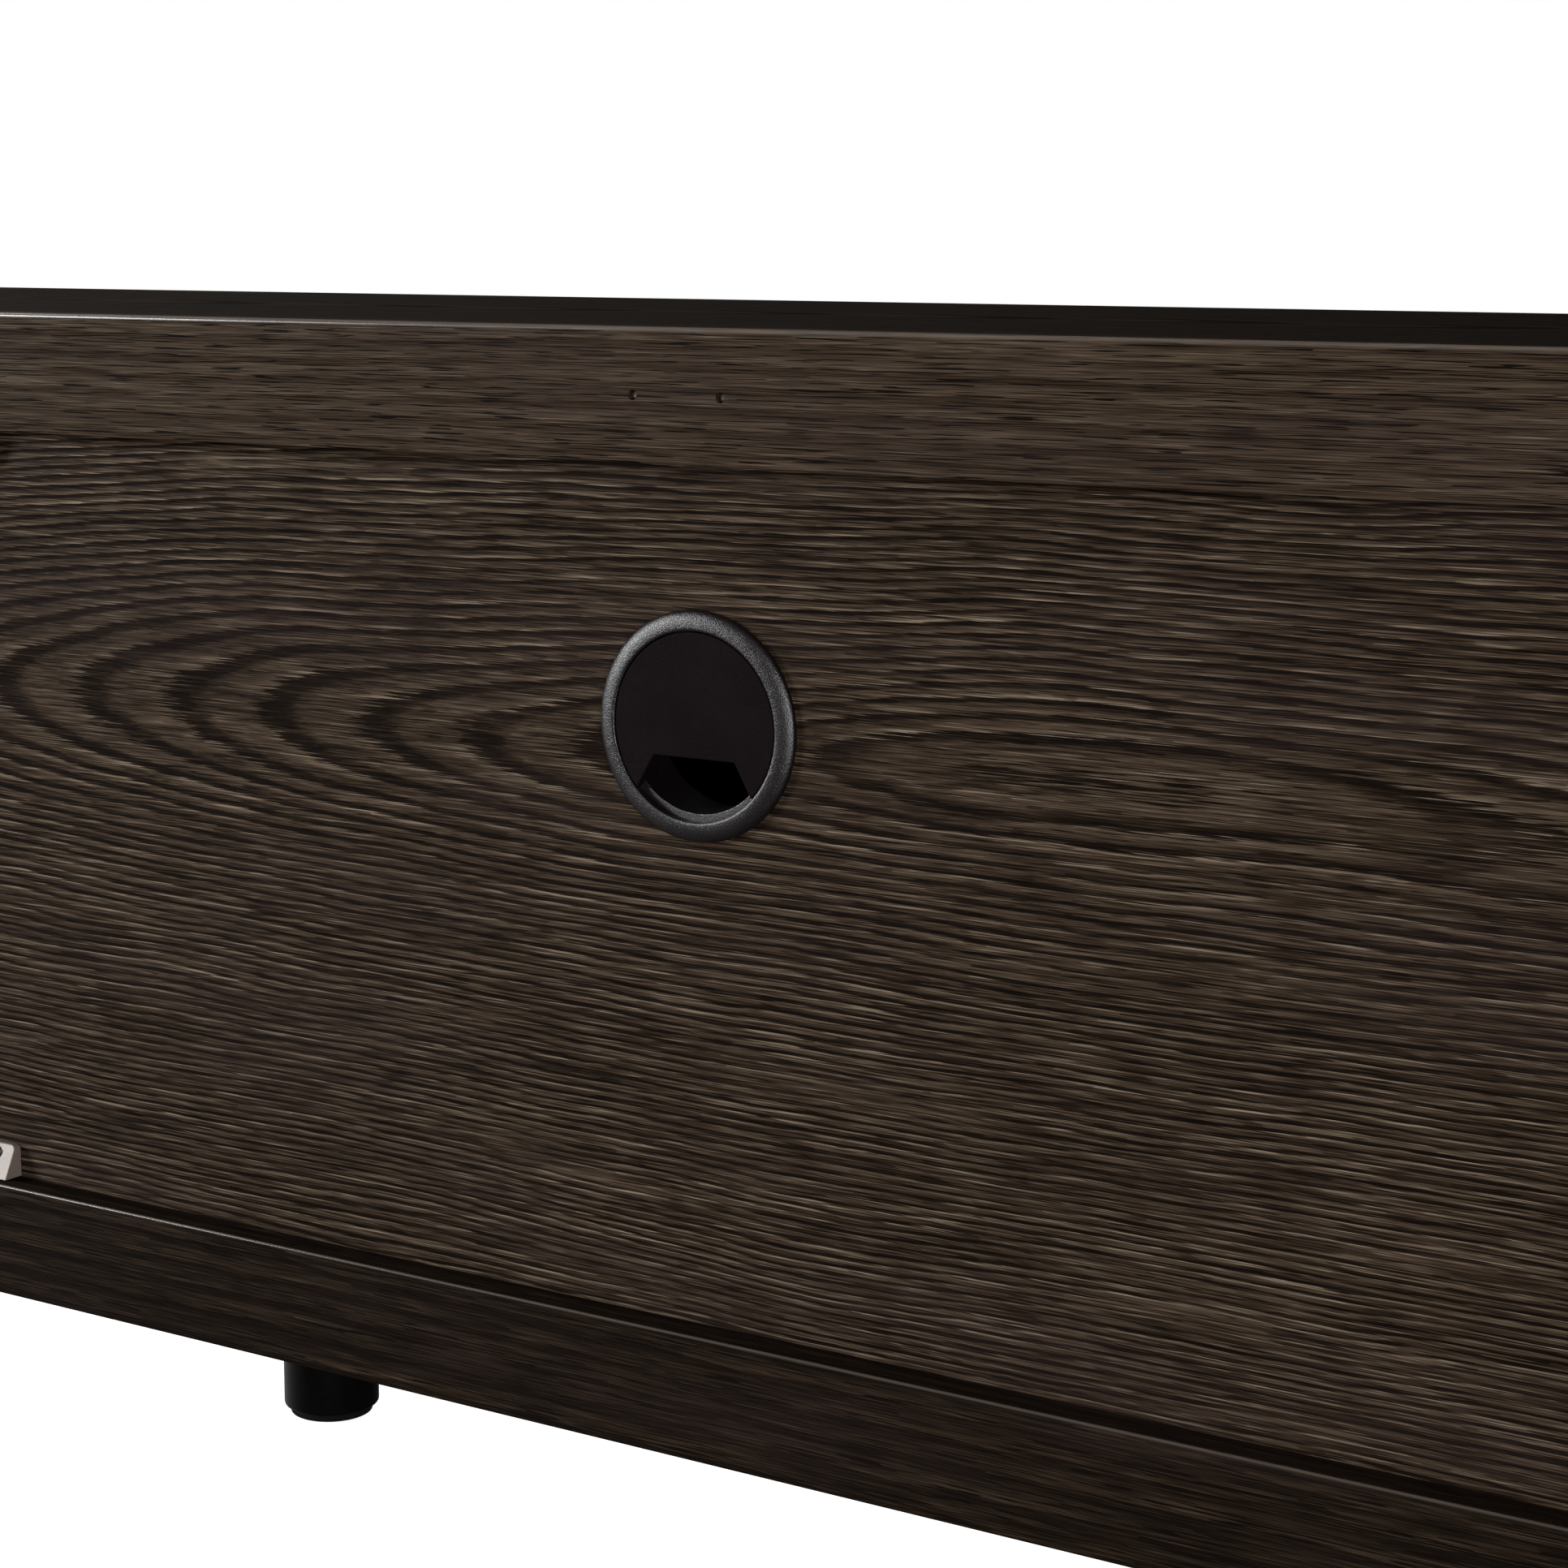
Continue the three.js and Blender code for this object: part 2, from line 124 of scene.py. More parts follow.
class Desk:
    def __init__(self, owner):
        owner.use_nodes = True
        self.tree = owner.node_tree
        self.tree.nodes.clear()

    def add(self, kind, settings=None, sockets=None, give=0):
        node = self.tree.nodes.new(kind)
        for key, value in (settings or {}).items():
            if key == "stops":
                self.setStops(node.color_ramp, value)
            else:
                setattr(node, key, value)
        pairs = enumerate(sockets) if isinstance(sockets, list) else (sockets or {}).items()
        for key, value in pairs:
            self.feed(node.inputs[key], value)
        return Wire(self, node.outputs[give]) if node.outputs else node

    def setStops(self, ramp, stops):
        while len(ramp.elements) < len(stops):
            ramp.elements.new(0.5)
        for element, (place, colour) in zip(ramp.elements, stops):
            element.position = place
            element.color = (*colour, 1.0)

    def feed(self, socket, value):
        if isinstance(value, Wire):
            self.tree.links.new(value.socket, socket)
        elif socket.type == "RGBA" and len(value) == 3:
            socket.default_value = (*value, 1.0)
        else:
            socket.default_value = value

    def axes(self):
        # the piece's own x, y and z in millimetres; output 3 is Object
        place = self.add("ShaderNodeTexCoord", give=3)
        scaled = self.add("ShaderNodeVectorMath", {"operation": "SCALE"}, {0: place, "Scale": 1000.0})
        node = self.add("ShaderNodeSeparateXYZ", None, [scaled]).socket.node
        return [Wire(self, output) for output in node.outputs]

    def noise(self, x, y, z, detail=2.0, roughness=0.5):
        point = self.add("ShaderNodeCombineXYZ", None, [x, y, z])
        sockets = {"Vector": point, "Scale": 1.0, "Detail": detail, "Roughness": roughness}
        return self.add("ShaderNodeTexNoise", None, sockets)

    def blend(self, amount, first, second):
        # a mix of two colours; sockets 0, 6 and 7 are its factor and its colours
        settings = {"data_type": "RGBA", "blend_type": "MIX", "clamp_factor": True}
        return self.add("ShaderNodeMix", settings, {0: amount, 6: first, 7: second}, give=2)

    def bump(self, height, strength, distance):
        sockets = {"Height": height, "Strength": strength, "Distance": distance}
        return self.add("ShaderNodeBump", None, sockets)

    def surface(self, **sockets):
        named = {key.replace("_", " "): value for key, value in sockets.items()}
        shader = self.add("ShaderNodeBsdfPrincipled", None, named)
        self.add("ShaderNodeOutputMaterial", None, [shader])


def screen(red, green, blue):
    # a screen colour, 0 to 255, as a shader's linear values
    def linear(value):
        value /= 255
        return value / 12.92 if value <= 0.04045 else ((value + 0.055) / 1.055) ** 2.4
    return (linear(red), linear(green), linear(blue))


# Oak: growth rings round a log that lies along the grain, cut by the board's faces.
oakLook = {
    "axes": "xzy",        # along the grain, across the face, into the board
    "seed": 0.0,
    "sway": 18.0,         # mm that the ring lines wander slowly
    "ripple": 2.4,        # mm that they wander quickly
    "eye": -398.0,        # mm along the grain where the face is nearest the pith
    "eyeWidth": 30.0,     # mm over which the rings turn there
    "taper": 0.064,       # how fast the face leaves the pith
    "farTaper": 0.026,    # and how fast on the -X side of the eye
    "depth": 28.4,        # mm from the pith to the face at the eye
    "face": 172.0,        # mm, where the face is
    "pith": 317.5,        # mm, the pith's place across the face
    "ring": 2.65,         # mm between ring lines
    "jag": 0.8,           # how far the fibres drag the ring lines, in rings
    "line": 0.35,         # darkness of the ring lines
    "edge": 0.3,          # brightness of the brushed edge beside each line
    "fine": 2.0,          # fibres per mm across the grain
    "fineRun": 0.06,      # and along it
    "fibre": 0.8,
    "hair": 1.45,
    "streak": 0.35,
    "thread": 0.15,       # pale single fibres
    "pore": 0.2,          # darkness of the open pores
    "poreRun": 0.07,      # pores per mm along the grain
    "poreFine": 1.15,     # and across it
    "poreEdge": 0.60,     # more pores show when this is lower
    "base": 0.47,         # brightness of the plain wood
    "tones": [
        (0.0, screen(9, 5, 3)),
        (0.25, screen(24, 17, 11)),
        (0.5, screen(47, 37, 28)),
        (0.75, screen(71, 60, 49)),
        (1.0, screen(112, 100, 87)),
    ],
    "cast": screen(38, 29, 29),       # cooler patches
    "castShare": 0.2,
    "rubbed": screen(120, 108, 98),   # a pale colour painted along the arris: a painted highlight standing for its glint
    "rubbedShare": 0.35,
    "arrisY": 900.0,      # mm, off the board where it gets no painted arris glint
    "arrisZ": 900.0,
    "arrisWidth": 1.0,
    "coatRough": 0.2,
    "rough": 0.6,
    "shine": 0.03,
    "relief": 0.6,
    "reliefDepth": 0.0004,            # metres
}

# Each noise in the wood: cells per mm along and across the grain, detail, roughness,
# and how far the seed moves it along, across and into the board.
grain = {
    "slow": (0.0045, 0.011, 2.0, 0.5, (1, 0, 0)),
    "quick": (0.022, 0.05, 2.0, 0.5, (1, 0, 0)),
    "hair": (0.04, 3.2, 1.0, 0.6, (1, 0, 0)),
    "streak": (0.006, 0.22, 2.0, 0.55, (0, 0, 1)),
    "patchy": (0.008, 0.09, 2.0, 0.5, (0, 1, 0)),
    "glossy": (0.012, 0.16, 2.0, 0.6, (0, 0, 1)),
    "thread": (0.045, 2.8, 1.0, 0.5, (0, 1, 0)),
    "patch": (0.006, 0.03, 2.0, 0.5, (0, 0, 2)),
}


def grainNoise(desk, board, seed, along, across, detail, roughness, moved):
    scales = (along, across, across)
    point = [
        axis * scale + seed * share if share else axis * scale
        for axis, scale, share in zip(board, scales, moved)
    ]
    return desk.noise(*point, detail, roughness)


def makeOak(name, **changes):
    look = {**oakLook, **changes}
    material = bpy.data.materials.new(name)
    desk = Desk(material)
    axes = dict(zip("xyz", desk.axes()))
    board = [axes[letter] for letter in look["axes"]]
    along, across, deep = board
    seed = look["seed"]
    field = {key: grainNoise(desk, board, seed, *values) for key, values in grain.items()}
    fibres = (look["fineRun"], look["fine"], 2.0, 0.6, (0, 1, 0))
    fibre = grainNoise(desk, board, seed, *fibres) - 0.5
    hair = field["hair"] - 0.5

    # rings: distance from the pith, which the face nears at the eye
    wander = (field["slow"] - 0.5) * look["sway"] + (field["quick"] - 0.5) * look["ripple"]
    wander = across + wander - look["pith"]
    run = along - look["eye"]
    fall = look["taper"] - run.band(25.0, -75.0) * (look["taper"] - look["farTaper"])
    depth = (run * run + look["eyeWidth"] ** 2).root() * fall + look["depth"] + (deep - look["face"])
    radius = (wander * wander + depth * depth).root()
    drag = (fibre + hair * 0.5) * (look["jag"] - abs(wander).band(5.0, 30.0) * look["jag"] * 0.55)
    phase = (radius / look["ring"] + drag).fraction()
    line = phase.band(0.0, 0.12) * phase.band(0.46, 0.34) * field["patchy"].band(0.2, 0.5)
    edge = phase.band(0.40, 0.48) * phase.band(0.78, 0.54)
    edge = edge * field["glossy"].band(0.3, 0.7) * abs(wander).band(1.5, 10.0)

    pores = (look["poreRun"], look["poreFine"], 1.0, 0.5, (0, 0, 1))
    pore = grainNoise(desk, board, seed, *pores)
    dash = pore.band(look["poreEdge"], look["poreEdge"] + 0.04)
    thread = field["thread"].band(0.60, 0.74)

    tone = fibre * look["fibre"] + hair * look["hair"] + (field["streak"] - 0.5) * look["streak"]
    tone = tone + look["base"] + edge * look["edge"] + thread * look["thread"]
    tone = tone - line * look["line"] - dash * look["pore"]
    wood = desk.add("ShaderNodeValToRGB", {"stops": look["tones"]}, [tone])
    wood = desk.blend(field["patch"].band(0.45, 0.7) * look["castShare"], wood, look["cast"])

    # the arris at this height and depth is painted pale, a painted highlight standing for its glint, and gets a
    # shiny lacquer coat
    arris = (axes["y"] - look["arrisY"]) + (axes["z"] - look["arrisZ"])
    rubbed = arris.band(-look["arrisWidth"], 0.0)
    wood = desk.blend(rubbed * look["rubbedShare"], wood, look["rubbed"])
    height = fibre * 0.5 + hair * 0.4 + edge * 0.25 - line * 0.5 - dash * 0.5
    desk.surface(
        Base_Color=wood,
        Roughness=look["rough"] + line * 0.12 + hair * 0.15,
        Specular_IOR_Level=look["shine"],
        Coat_Weight=rubbed,
        Coat_Roughness=look["coatRough"],
        Normal=desk.bump(height, look["relief"], look["reliefDepth"]),
    )
    return material


# Narrow strips: nearly straight grain with open pores. Slabs: figure on their outer face.
railLook = dict(
    sway=9.0, ripple=2.2, eye=-2600.0, taper=0.0, farTaper=0.0, depth=60.0, pith=300.0, face=184.0,
    ring=5.5, line=0.12, edge=0.06, fibre=0.4, hair=1.0, streak=0.3, thread=0.12, base=0.53,
    poreRun=0.045, poreFine=1.8, poreEdge=0.60, pore=0.85,
)
slabLook = dict(
    railLook, ring=4.2, sway=14.0, eye=120.0, taper=0.05, farTaper=0.05, depth=130.0,
    line=0.3, edge=0.15, base=0.48,
)
doorLook = dict(slabLook, depth=26.0, ring=3.4, sway=16.0, base=0.5)
sideLook = dict(slabLook, axes="zyx", pith=-30.0)

oak = {
    "back": makeOak("oakBack"),
    "railTop": makeOak("oakRailTop", **{**railLook, "seed": 3.7, "arrisY": 184.0, "arrisZ": 443.3}),
    # the bottom rail's base of 0.23 is painted shade: the same oak as the top rail, made much darker to stand
    # for the lower rail getting less light; its arrisY and arrisZ also place a painted arris glint
    "railBottom": makeOak("oakRailBottom", **{
        **railLook, "seed": 8.2, "pith": 60.0, "base": 0.23, "arrisY": 184.0, "arrisZ": 139.95,
    }),
    "railSide": makeOak("oakRailSide", **{**railLook, "seed": 4.4, "axes": "zxy", "pith": 500.0}),
    # the top's base of 0.4, below the other slabs' 0.48, is painted shade standing for the dim, grazing light on
    # the top face
    "top": makeOak("oakTop", **{
        **slabLook, "seed": 5.1, "axes": "xyz", "pith": 20.0, "face": 444.0, "base": 0.4,
    }),
    "bottom": makeOak("oakBottom", **{
        **slabLook, "seed": 6.3, "axes": "xyz", "pith": -40.0, "face": 100.0,
    }),
    "right": makeOak("oakSideRight", **{**sideLook, "seed": 7.9, "face": 625.0, "eye": 240.0}),
    "left": makeOak("oakSideLeft", **{**sideLook, "seed": 5.6, "face": -625.0, "eye": 330.0}),
    "partition": makeOak("oakPartition", **{
        **slabLook, "seed": 2.4, "axes": "zyx", "pith": 10.0, "face": 9.0,
    }),
    "doors": makeOak("oakDoors", **{
        **doorLook, "seed": 9.6, "pith": 268.0, "face": -170.0, "eye": -90.0,
    }),
    "shelf": makeOak("oakShelf", **{
        **slabLook, "seed": 1.3, "axes": "xyz", "pith": 0.0, "face": 280.0,
    }),
}

plasticLook = {
    "colour": screen(6, 3, 4),
    "pale": screen(20, 13, 16),
    "rough": 0.33,
    "shine": 0.5,
    "grain": 2.5,         # grains per mm
    "cloud": 0.06,        # clouds per mm
    "relief": 0.7,
    "reliefDepth": 0.0002,            # metres
    "spread": 0.12,       # how much the roughness varies
}


def makePlastic(name, **changes):
    # moulded plastic or paint with a fine stipple
    look = {**plasticLook, **changes}
    material = bpy.data.materials.new(name)
    desk = Desk(material)
    axes = desk.axes()
    stipple = desk.noise(*(axis * look["grain"] for axis in axes), 2.0, 0.6)
    cloud = desk.noise(*(axis * look["cloud"] for axis in axes), 3.0, 0.6)
    tint = (stipple - 0.5) * 0.9 + (cloud - 0.5) * 0.8 + 0.35
    desk.surface(
        Base_Color=desk.blend(tint, look["colour"], look["pale"]),
        Roughness=look["rough"] + (cloud - 0.5) * look["spread"] + (stipple - 0.5) * look["spread"],
        Specular_IOR_Level=look["shine"],
        Normal=desk.bump(stipple, look["relief"], look["reliefDepth"]),
    )
    return material


metalLook = {
    "cloud": 0.5,         # clouds and flecks per mm
    "fleck": 5.0,
    "relief": 0.15,
    "reliefDepth": 0.0001,            # metres
}


def makeMetal(name, colour, pale, rough):
    # zinc or black steel with faint draw marks and cloudy plating
    material = bpy.data.materials.new(name)
    desk = Desk(material)
    axes = desk.axes()
    cloud = desk.noise(*(axis * metalLook["cloud"] for axis in axes), 3.0, 0.6)
    fleck = desk.noise(*(axis * metalLook["fleck"] for axis in axes), 2.0, 0.6)
    desk.surface(
        Base_Color=desk.blend(cloud.band(0.3, 0.7), colour, pale),
        Metallic=1.0,
        Roughness=rough + (fleck - 0.5) * 0.2 + (cloud - 0.5) * 0.15,
        Normal=desk.bump(fleck, metalLook["relief"], metalLook["reliefDepth"]),
    )
    return material


finish = {
    "plastic": makePlastic("grommetPlastic"),
    "capPlastic": makePlastic(
        "capPlastic", pale=screen(20, 13, 15), rough=0.55, shine=0.03, relief=0.6,
    ),
    "lacquer": makePlastic(
        "legLacquer", colour=screen(5, 4, 4), pale=screen(9, 8, 8), rough=0.24, shine=0.14,
        grain=0.35, relief=0.05, spread=0.05,
    ),
    "clip": makePlastic(
        "clipPlastic", colour=screen(96, 84, 76), pale=screen(116, 104, 95), rough=0.38, shine=0.3,
        grain=1.5, relief=0.06,
    ),
    "rubber": makePlastic(
        "padRubber", colour=screen(7, 7, 7), pale=screen(15, 14, 14), rough=0.85, shine=0.1,
    ),
    "steel": makeMetal("zincSteel", screen(150, 150, 153), screen(188, 188, 190), 0.34),
    "brad": makeMetal("dullSteel", screen(58, 52, 48), screen(84, 78, 72), 0.55),
    "knob": makeMetal("blackSteel", screen(26, 25, 26), screen(40, 38, 38), 0.4),
}
print("materials made:", len(oak) + len(finish))


# Modelling helpers

def deselectAll():
    if bpy.context.mode != "OBJECT":
        bpy.ops.object.mode_set(mode="OBJECT")
    bpy.ops.object.select_all(action="DESELECT")


def makeActive(piece):
    deselectAll()
    piece.select_set(True)
    bpy.context.view_layer.objects.active = piece


def pickEdges(piece, test):
    # edit mode, with the edges selected whose two ends pass the test
    makeActive(piece)
    bpy.ops.object.mode_set(mode="EDIT")
    bpy.ops.mesh.select_mode(type="EDGE")
    bpy.ops.mesh.select_all(action="DESELECT")
    bpy.ops.object.mode_set(mode="OBJECT")
    points = piece.data.vertices
    for edge in piece.data.edges:
        start, end = (points[index].co for index in edge.vertices)
        edge.select = test(start, end)
    bpy.ops.object.mode_set(mode="EDIT")


def bevelEdges(piece, test, width, segments=3):
    pickEdges(piece, test)
    bpy.ops.mesh.bevel(offset=width, segments=segments, affect="EDGES")
    bpy.ops.object.mode_set(mode="OBJECT")


def near(value, target):
    return abs(value - target) < 0.02 * mm


def addBlock(low, high):
    deselectAll()
    low, high = Vector(low), Vector(high)
    bpy.ops.mesh.primitive_cube_add(size=1, location=(low + high) / 2, scale=high - low)
    bpy.ops.object.transform_apply(location=True, rotation=True, scale=True)
    return bpy.context.object


def addRod(axis, radius, start, length, sides=32):
    deselectAll()
    turns = {"x": (0, math.pi / 2, 0), "y": (math.pi / 2, 0, 0), "z": (0, 0, 0)}
    direction = Vector([letter == axis for letter in "xyz"])
    bpy.ops.mesh.primitive_cylinder_add(
        vertices=sides, radius=radius, depth=length,
        location=Vector(start) + direction * (length / 2), rotation=turns[axis],
    )
    bpy.ops.object.transform_apply(location=True, rotation=True, scale=True)
    return bpy.context.object


def joinPieces(pieces):
    makeActive(pieces[0])
    for piece in pieces[1:]:
        piece.select_set(True)
    if len(pieces) > 1:
        bpy.ops.object.join()
    return pieces[0]


def cutAway(piece, cutters):
    tool = joinPieces(cutters)
    makeActive(piece)
    bpy.ops.object.modifier_add(type="BOOLEAN")
    modifier = piece.modifiers[-1]
    modifier.operation = "DIFFERENCE"
    modifier.solver = "EXACT"
    modifier.object = tool
    bpy.ops.object.modifier_apply(modifier=modifier.name)
    bpy.data.objects.remove(tool)


def easeEdges(piece, width, segments=2, angle=40):
    makeActive(piece)
    bpy.ops.object.modifier_add(type="BEVEL")
    modifier = piece.modifiers[-1]
    modifier.width = width
    modifier.segments = segments
    modifier.limit_method = "ANGLE"
    modifier.angle_limit = math.radians(angle)
    bpy.ops.object.modifier_apply(modifier=modifier.name)


def roundCorners(corners, cuts=5):
    # (radius, height, rounding) corners in mm; a rounded corner becomes a short curve
    points = []
    for index, (radius, height, rounding) in enumerate(corners):
        here = Vector((radius, height))
        if not rounding:
            points.append(here)
            continue
        before = Vector(corners[index - 1][:2])
        after = Vector(corners[(index + 1) % len(corners)][:2])
        start = here + (before - here).normalized() * rounding
        end = here + (after - here).normalized() * rounding
        for cut in range(cuts + 1):
            share = cut / cuts
            points.append(start * (1 - share) ** 2 + here * 2 * share * (1 - share) + end * share ** 2)
    return points


def addTurned(profile, place, axis, steps=64):
    # one point is extruded along the profile, in mm, and the line is spun round the axis
    axis = Vector(axis)
    radial = Vector((0, 1, 0)) if abs(axis.x) > 0.5 else Vector((1, 0, 0))
    deselectAll()
    bpy.ops.mesh.primitive_plane_add(size=mm, location=place)
    bpy.ops.object.transform_apply(location=True, rotation=True, scale=True)
    piece = bpy.context.object
    bpy.ops.object.mode_set(mode="EDIT")
    bpy.ops.mesh.select_mode(type="VERT")
    bpy.ops.mesh.select_all(action="SELECT")
    bpy.ops.mesh.merge(type="CENTER")
    last = Vector((0, 0))
    for index, point in enumerate(profile):
        step = Vector(point[:2]) - last
        move = (radial * step.x + axis * step.y) * mm
        if index:
            bpy.ops.mesh.extrude_vertices_move(TRANSFORM_OT_translate={"value": move})
        else:
            bpy.ops.transform.translate(value=move)
        last = Vector(point[:2])
    bpy.ops.mesh.select_all(action="SELECT")
    bpy.ops.mesh.spin(steps=steps, angle=2 * math.pi, center=place, axis=axis)
    bpy.ops.mesh.select_all(action="SELECT")
    bpy.ops.mesh.remove_doubles(threshold=0.001 * mm)
    bpy.ops.mesh.normals_make_consistent(inside=False)
    bpy.ops.object.mode_set(mode="OBJECT")
    return piece


def settle(piece, node, material, body="case", angle=35, weighted=False):
    # smooths, names and dresses a finished piece, and ties it to the frame
    makeActive(piece)
    bpy.ops.object.shade_smooth_by_angle(angle=math.radians(angle))
    if weighted:
        bpy.ops.object.modifier_add(type="WEIGHTED_NORMAL")
        piece.modifiers[-1].keep_sharp = True
        bpy.ops.object.modifier_apply(modifier=piece.modifiers[-1].name)
    words = node.split("_")
    piece.name = words[0] + "".join(word.capitalize() for word in words[1:])
    piece.data.name = piece.name
    piece.data.materials.clear()
    piece.data.materials.append(material)
    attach(piece, body)
    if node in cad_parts:
        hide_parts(node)
    return piece


def copyTo(piece, offset):
    # a copy with its own mesh, moved by an offset
    makeActive(piece)
    bpy.ops.object.duplicate()
    copy = bpy.context.object
    copy.location = offset
    bpy.ops.object.transform_apply(location=True, rotation=True, scale=True)
    return copy


def named(start, end=""):
    return [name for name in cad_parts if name.startswith(start) and name.endswith(end)]


def boxOf(node):
    return [Vector(corner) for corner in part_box(node)]


def middleOf(node):
    low, high = boxOf(node)
    return (low + high) / 2


# Case: mitred boards, and the strips that frame the rear

caseSizes = {
    "arris": 1.1 * mm,         # rounding of the boards' front edges
    "railArris": 1.3 * mm,
    "innerArris": 0.7 * mm,
    "spare": 8 * mm,           # length that the mitres cut off
    "rebate": 7 * mm,          # depth of the groove that the back sits in
    "fit": 0.3 * mm,           # play round what goes into a hole or groove
}

backFront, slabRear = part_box("back_panel")[0][1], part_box("back_panel")[1][1]
bayLow = Vector((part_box("side_left")[1][0], 0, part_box("bottom_board")[1][2]))    # lower corner of the inside
bayHigh = Vector((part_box("side_right")[0][0], 0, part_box("top_board")[0][2]))    # and its upper corner

holeSizes = {                  # each bored hole's radius, and the knob holes' depth
    "pivot": 3.3 * mm,
    "brad": 1.1 * mm,
    "bradHead": 1.55 * mm,
    "stud": 4.3 * mm,
    "shelfPin": 2.8 * mm,
    "screw": 1.4 * mm,
    "grommet": 30.3 * mm,
    "knobStud": 2.3 * mm,
    "knobDepth": 14.3 * mm,
}


def mitre(piece, point, normal):
    makeActive(piece)
    bpy.ops.object.mode_set(mode="EDIT")
    bpy.ops.mesh.select_all(action="SELECT")
    bpy.ops.mesh.bisect(plane_co=point, plane_no=normal, use_fill=True, clear_outer=True)
    bpy.ops.object.mode_set(mode="OBJECT")


def addMitred(node, side, isRail):
    # side is top, bottom, left or right; the outer face is the longer one
    low, high = boxOf(node)
    run = 0 if side in ("top", "bottom") else 2
    depthAxis = 2 - run
    outerHigh = side in ("top", "right")
    longLow, longHigh = low.copy(), high.copy()
    longLow[run] -= caseSizes["spare"]
    longHigh[run] += caseSizes["spare"]
    board = addBlock(longLow, longHigh)
    edgeY = high.y if isRail else low.y
    outer = high[depthAxis] if outerHigh else low[depthAxis]

    def onEdge(isOuter):
        def test(start, end):
            alongRun = abs(start[run] - end[run]) > 0.1
            atY = near(start.y, edgeY) and near(end.y, edgeY)
            return alongRun and atY and near(start[depthAxis], outer) == isOuter
        return test

    arris = caseSizes["railArris" if isRail else "arris"]
    bevelEdges(board, onEdge(True), arris, 4)
    bevelEdges(board, onEdge(False), caseSizes["innerArris"], 3)
    for end, sign in ((low, -1), (high, 1)):
        point = Vector((0, 0, 0))
        point[run] = end[run]
        point[depthAxis] = outer
        normal = Vector((0, 0, 0))
        normal[run] = sign
        normal[depthAxis] = -1 if outerHigh else 1
        mitre(board, point, normal)
    return board


def boxHoles(names, axis, radius, fit, sides=24):
    # a rod for each named node, as long as the node along the axis
    tools = []
    run = "xyz".index(axis)
    for name in names:
        low, high = boxOf(name)
        start = (low + high) / 2
        start[run] = low[run] - fit
        tools.append(addRod(axis, radius, start, high[run] - low[run] + 2 * fit, sides))
    return tools


def pivotHoles(side):
    # for the pins in the top or bottom board, from its groove's depth to past their ends
    fit, rebate = caseSizes["fit"], caseSizes["rebate"]
    tools = []
    for pivot in named("pivot_", side):
        low, high = boxOf(pivot)
        centre = (low + high) / 2
        start, length = low.z - fit, bayLow.z + rebate - low.z
        if side == "top":
            start, length = bayHigh.z - rebate, high.z - bayHigh.z + rebate + fit
        tools.append(addRod("z", holeSizes["pivot"], (centre.x, centre.y, start), length))
    return tools


def bradHoles():
    fit, rebate = caseSizes["fit"], caseSizes["rebate"]
    tools = []
    for brad in named("brad_"):
        low, centre = boxOf(brad)[0], middleOf(brad)
        start = (centre.x, low.y - fit, centre.z)
        tools.append(addRod("y", holeSizes["brad"], start, slabRear + rebate - low.y))
    return tools


def bradHeadHoles():
    rebate = caseSizes["rebate"]
    tools = []
    for brad in named("brad_"):
        centre = middleOf(brad)
        start = (centre.x, slabRear - rebate, centre.z)
        tools.append(addRod("y", holeSizes["bradHead"], start, 3 * rebate, 24))
    return tools


def studHoles():
    tools = []
    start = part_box("bottom_board")[0][2] - caseSizes["rebate"]
    for leg in named("leg_"):
        centre, top = middleOf(leg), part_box(leg)[1][2]
        length = top + caseSizes["fit"] - start
        tools.append(addRod("z", holeSizes["stud"], (centre.x, centre.y, start), length))
    return tools


def addCase():
    sides = {"top": "top_board", "bottom": "bottom_board", "left": "side_left", "right": "side_right"}
    railOak = {"top": "railTop", "bottom": "railBottom", "left": "railSide", "right": "railSide"}
    fit, rebate = caseSizes["fit"], caseSizes["rebate"]
    for side, node in sides.items():
        board = addMitred(node, side, False)
        seatLow = bayLow - Vector((rebate, 0, rebate))
        seatHigh = bayHigh + Vector((rebate, 0, rebate))
        seatLow.y, seatHigh.y = backFront - fit, slabRear + rebate
        cutAway(board, [addBlock(seatLow, seatHigh)])
        if side in ("left", "right"):
            pins = named(f"shelf_pin_{side}", "outer")
            tools = boxHoles(pins, "x", holeSizes["shelfPin"], fit, 32)
        else:
            tools = pivotHoles(side)
            tools += bradHoles() if side == "top" else studHoles()
        cutAway(board, tools)
        settle(board, node, oak[side], weighted=True)

        rail = addMitred(f"rear_rail_{side}", side, True)
        if side == "top":
            cutAway(rail, bradHeadHoles())
        settle(rail, f"rear_rail_{side}", oak[railOak[side]], weighted=True)


def addPartition():
    low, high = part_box("partition")
    board = addBlock(low, high)
    bevelEdges(board, lambda a, b: near(a.y, low[1]) and near(b.y, low[1]), caseSizes["arris"])
    pins = named("shelf_pin_", "inner")
    cutAway(board, boxHoles(pins, "x", holeSizes["shelfPin"], caseSizes["fit"]))
    cutAway(board, boxHoles(named("back_clip_screw_"), "y", holeSizes["screw"], caseSizes["fit"]))
    settle(board, "partition", oak["partition"], weighted=True)


def addBack():
    panel = addBlock(*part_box("back_panel"))
    tools = boxHoles(named("grommet_ring_"), "y", holeSizes["grommet"], 0, 96)
    tools += boxHoles(named("back_clip_screw_"), "y", holeSizes["screw"], 0)
    cutAway(panel, tools)
    settle(panel, "back_panel", oak["back"])


addCase()
addPartition()
addBack()
print("case made")

bradSizes = {"radius": 0.8, "head": 1.25, "headHeight": 1.2, "tip": 2.0, "dish": 0.15}    # mm


def bradProfile(length):
    radius, head, dish = bradSizes["radius"], bradSizes["head"], bradSizes["dish"]
    neck = length - bradSizes["headHeight"]
    return roundCorners([
        (0, 0, 0), (radius, bradSizes["tip"], 0), (radius, neck - 0.6, 0.3), (head, neck, 0.1),
        (head, length - dish, 0.2), (head * 0.5, length, 0.2), (0, length - dish, 0),
    ], 3)


